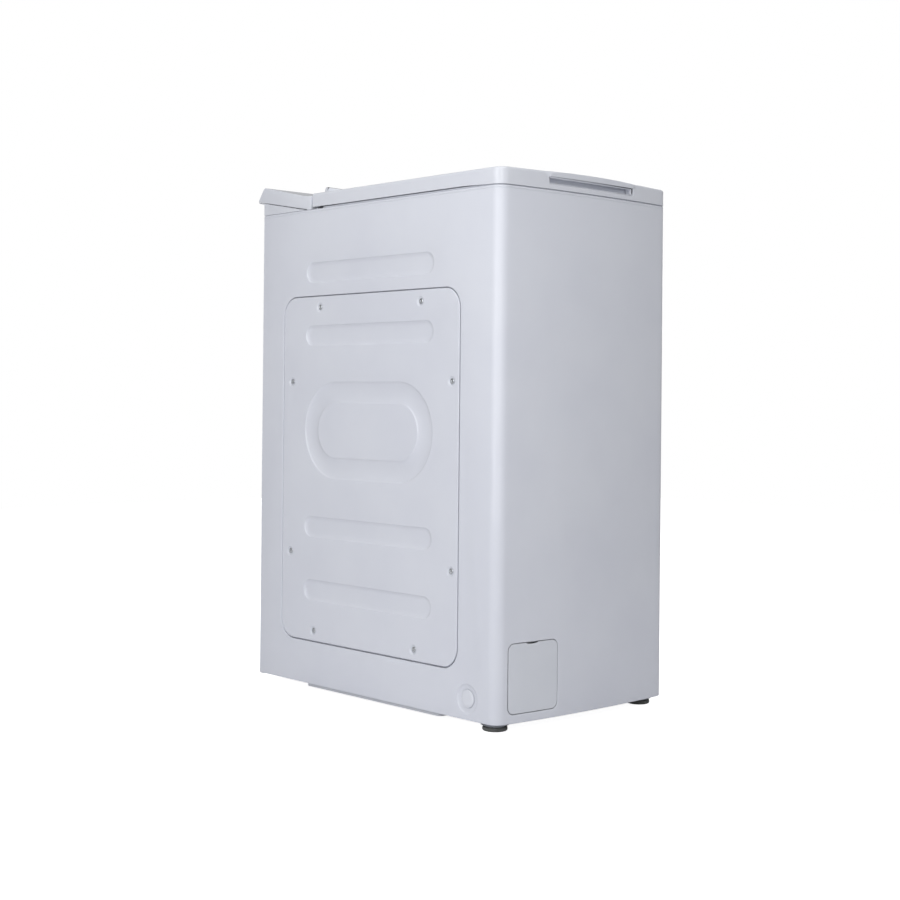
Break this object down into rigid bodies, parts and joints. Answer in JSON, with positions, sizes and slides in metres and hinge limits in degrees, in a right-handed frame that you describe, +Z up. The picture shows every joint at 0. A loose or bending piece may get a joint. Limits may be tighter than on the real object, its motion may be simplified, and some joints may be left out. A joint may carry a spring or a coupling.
{
  "type": "top load washing machine",
  "caption": "Slim free-standing top load washing machine with a rear hinged lid, a front finger recess, a sloping control console and a ribbed service cover on its side.",
  "frame": {"origin": "middle of the bounding box's floor face, on the floor under the machine", "axes": "+Z up, the front with the lid's finger recess faces -Y, the console is towards +Y, the service cover is on the -X side"},
  "size_m": [0.4, 0.648, 0.9043],
  "materials": {
    "enamelled_steel": "satin white coil-coated sheet",
    "white_plastic": "moulded, satin",
    "grey_plastic": "moulded, matte",
    "dark_plastic": "moulded, matte",
    "zinc_steel": "zinc plated",
    "stainless_steel": "rolled sheet",
    "cast_aluminium": "die cast",
    "concrete": "cast, unpainted",
    "rubber": "moulded, matte",
    "grey_rubber": "moulded, matte",
    "circuit_board": "solder mask"
  },
  "bodies": {
    "cabinet": {"cabinet_wrap": "enamelled_steel", "rear_panel": "enamelled_steel", "base_pan": "grey_plastic", "top_frame": "white_plastic", "service_cover": "enamelled_steel", "service_cover_screw_1": "zinc_steel", "service_cover_screw_2": "zinc_steel", "service_cover_screw_3": "zinc_steel", "service_cover_screw_4": "zinc_steel", "service_cover_screw_5": "zinc_steel", "service_cover_screw_6": "zinc_steel", "service_cover_screw_7": "zinc_steel", "service_cover_screw_8": "zinc_steel", "side_plug": "white_plastic", "rear_glide_left": "rubber", "rear_glide_right": "rubber", "console_base": "white_plastic", "console_cover": "white_plastic", "control_board": "circuit_board", "lid_hinge_bracket_left": "zinc_steel", "lid_hinge_bracket_right": "zinc_steel", "detergent_tray": "white_plastic", "door_gasket": "grey_rubber", "tub_shell": "grey_plastic", "tub_end_left": "grey_plastic", "tub_end_right": "grey_plastic", "bearing_left": "zinc_steel", "bearing_right": "zinc_steel", "counterweight": "concrete", "motor_housing": "zinc_steel", "drive_belt": "rubber", "suspension_spring_left": "zinc_steel", "suspension_spring_right": "zinc_steel", "damper_front": "dark_plastic", "damper_rear": "dark_plastic", "drain_pump": "grey_plastic", "inlet_valve": "white_plastic", "drain_outlet": "dark_plastic", "mains_gland": "dark_plastic"},
    "motor": {"motor_rotor": "zinc_steel", "motor_pulley": "cast_aluminium"},
    "drum": {"drum_shell": "stainless_steel", "drum_end_left": "stainless_steel", "drum_end_right": "stainless_steel", "drum_pulley": "cast_aluminium", "drum_lifter_front": "grey_plastic", "drum_lifter_rear": "grey_plastic"},
    "drum_flap_front": {"drum_door_front": "stainless_steel"},
    "drum_flap_rear": {"drum_door_rear": "stainless_steel"},
    "latch": {"door_latch_button": "grey_plastic"},
    "lid": {"lid_cover": "white_plastic", "lid_inner": "white_plastic"},
    "programme_knob": {"knob": "white_plastic"},
    "push_button_1": {"button_1": "white_plastic"},
    "push_button_2": {"button_2": "white_plastic"},
    "push_button_3": {"button_3": "white_plastic"},
    "flap": {"filter_flap": "white_plastic"},
    "filter": {"filter_cap": "grey_plastic"},
    "foot_left": {"front_foot_left": "rubber"},
    "foot_right": {"front_foot_right": "rubber"}
  },
  "joints": [
    {"name": "motor_spin", "type": "hinge", "parent": "cabinet", "child": "motor", "pos_m": [0, 0.16, 0.125], "axis": [1, 0, 0], "continuous": true},
    {"name": "drum_spin", "type": "hinge", "parent": "cabinet", "child": "drum", "pos_m": [0, -0.01, 0.445], "axis": [1, 0, 0], "continuous": true},
    {"name": "drum_flap_front_hinge", "type": "hinge", "parent": "drum", "child": "drum_flap_front", "pos_m": [0, -0.09071, 0.65973], "axis": [1, 0, 0], "range_deg": [0, 95]},
    {"name": "drum_flap_rear_hinge", "type": "hinge", "parent": "drum", "child": "drum_flap_rear", "pos_m": [0, 0.07071, 0.65973], "axis": [-1, 0, 0], "range_deg": [0, 95]},
    {"name": "latch_press", "type": "slide", "parent": "drum_flap_front", "child": "latch", "axis": [0, 0, -1], "range_m": [0, 0.003], "stiffness_N_per_m": 200, "springref_m": -0.002},
    {"name": "lid_hinge", "type": "hinge", "parent": "cabinet", "child": "lid", "pos_m": [0, 0.155, 0.87], "axis": [-1, 0, 0], "range_deg": [0, 95]},
    {"name": "knob_turn", "type": "hinge", "parent": "cabinet", "child": "programme_knob", "pos_m": [-0.105, 0.216, 0.88175], "axis": [0, -0.2066, 0.9784], "continuous": true},
    {"name": "button_1_press", "type": "slide", "parent": "cabinet", "child": "push_button_1", "axis": [0, 0.2066, -0.9784], "range_m": [0, 0.0018], "stiffness_N_per_m": 300, "springref_m": -0.001},
    {"name": "button_2_press", "type": "slide", "parent": "cabinet", "child": "push_button_2", "axis": [0, 0.2066, -0.9784], "range_m": [0, 0.0018], "stiffness_N_per_m": 300, "springref_m": -0.001},
    {"name": "button_3_press", "type": "slide", "parent": "cabinet", "child": "push_button_3", "axis": [0, 0.2066, -0.9784], "range_m": [0, 0.0018], "stiffness_N_per_m": 300, "springref_m": -0.001},
    {"name": "filter_flap_hinge", "type": "hinge", "parent": "cabinet", "child": "flap", "pos_m": [-0.12305, -0.31956, 0.03], "axis": [0.9981, -0.0614, 0], "range_deg": [0, 90]},
    {"name": "filter_cap_turn", "type": "hinge", "parent": "cabinet", "child": "filter", "pos_m": [-0.123, -0.3, 0.085], "axis": [0, -1, 0], "range_deg": [0, 180]},
    {"name": "foot_left_height", "type": "slide", "parent": "cabinet", "child": "foot_left", "axis": [0, 0, -1], "range_m": [0, 0.01]},
    {"name": "foot_right_height", "type": "slide", "parent": "cabinet", "child": "foot_right", "axis": [0, 0, -1], "range_m": [0, 0.01]}
  ],
  "couplings": [
    {"joint": "drum_spin", "follows": "motor_spin", "ratio": 0.0625}
  ]
}
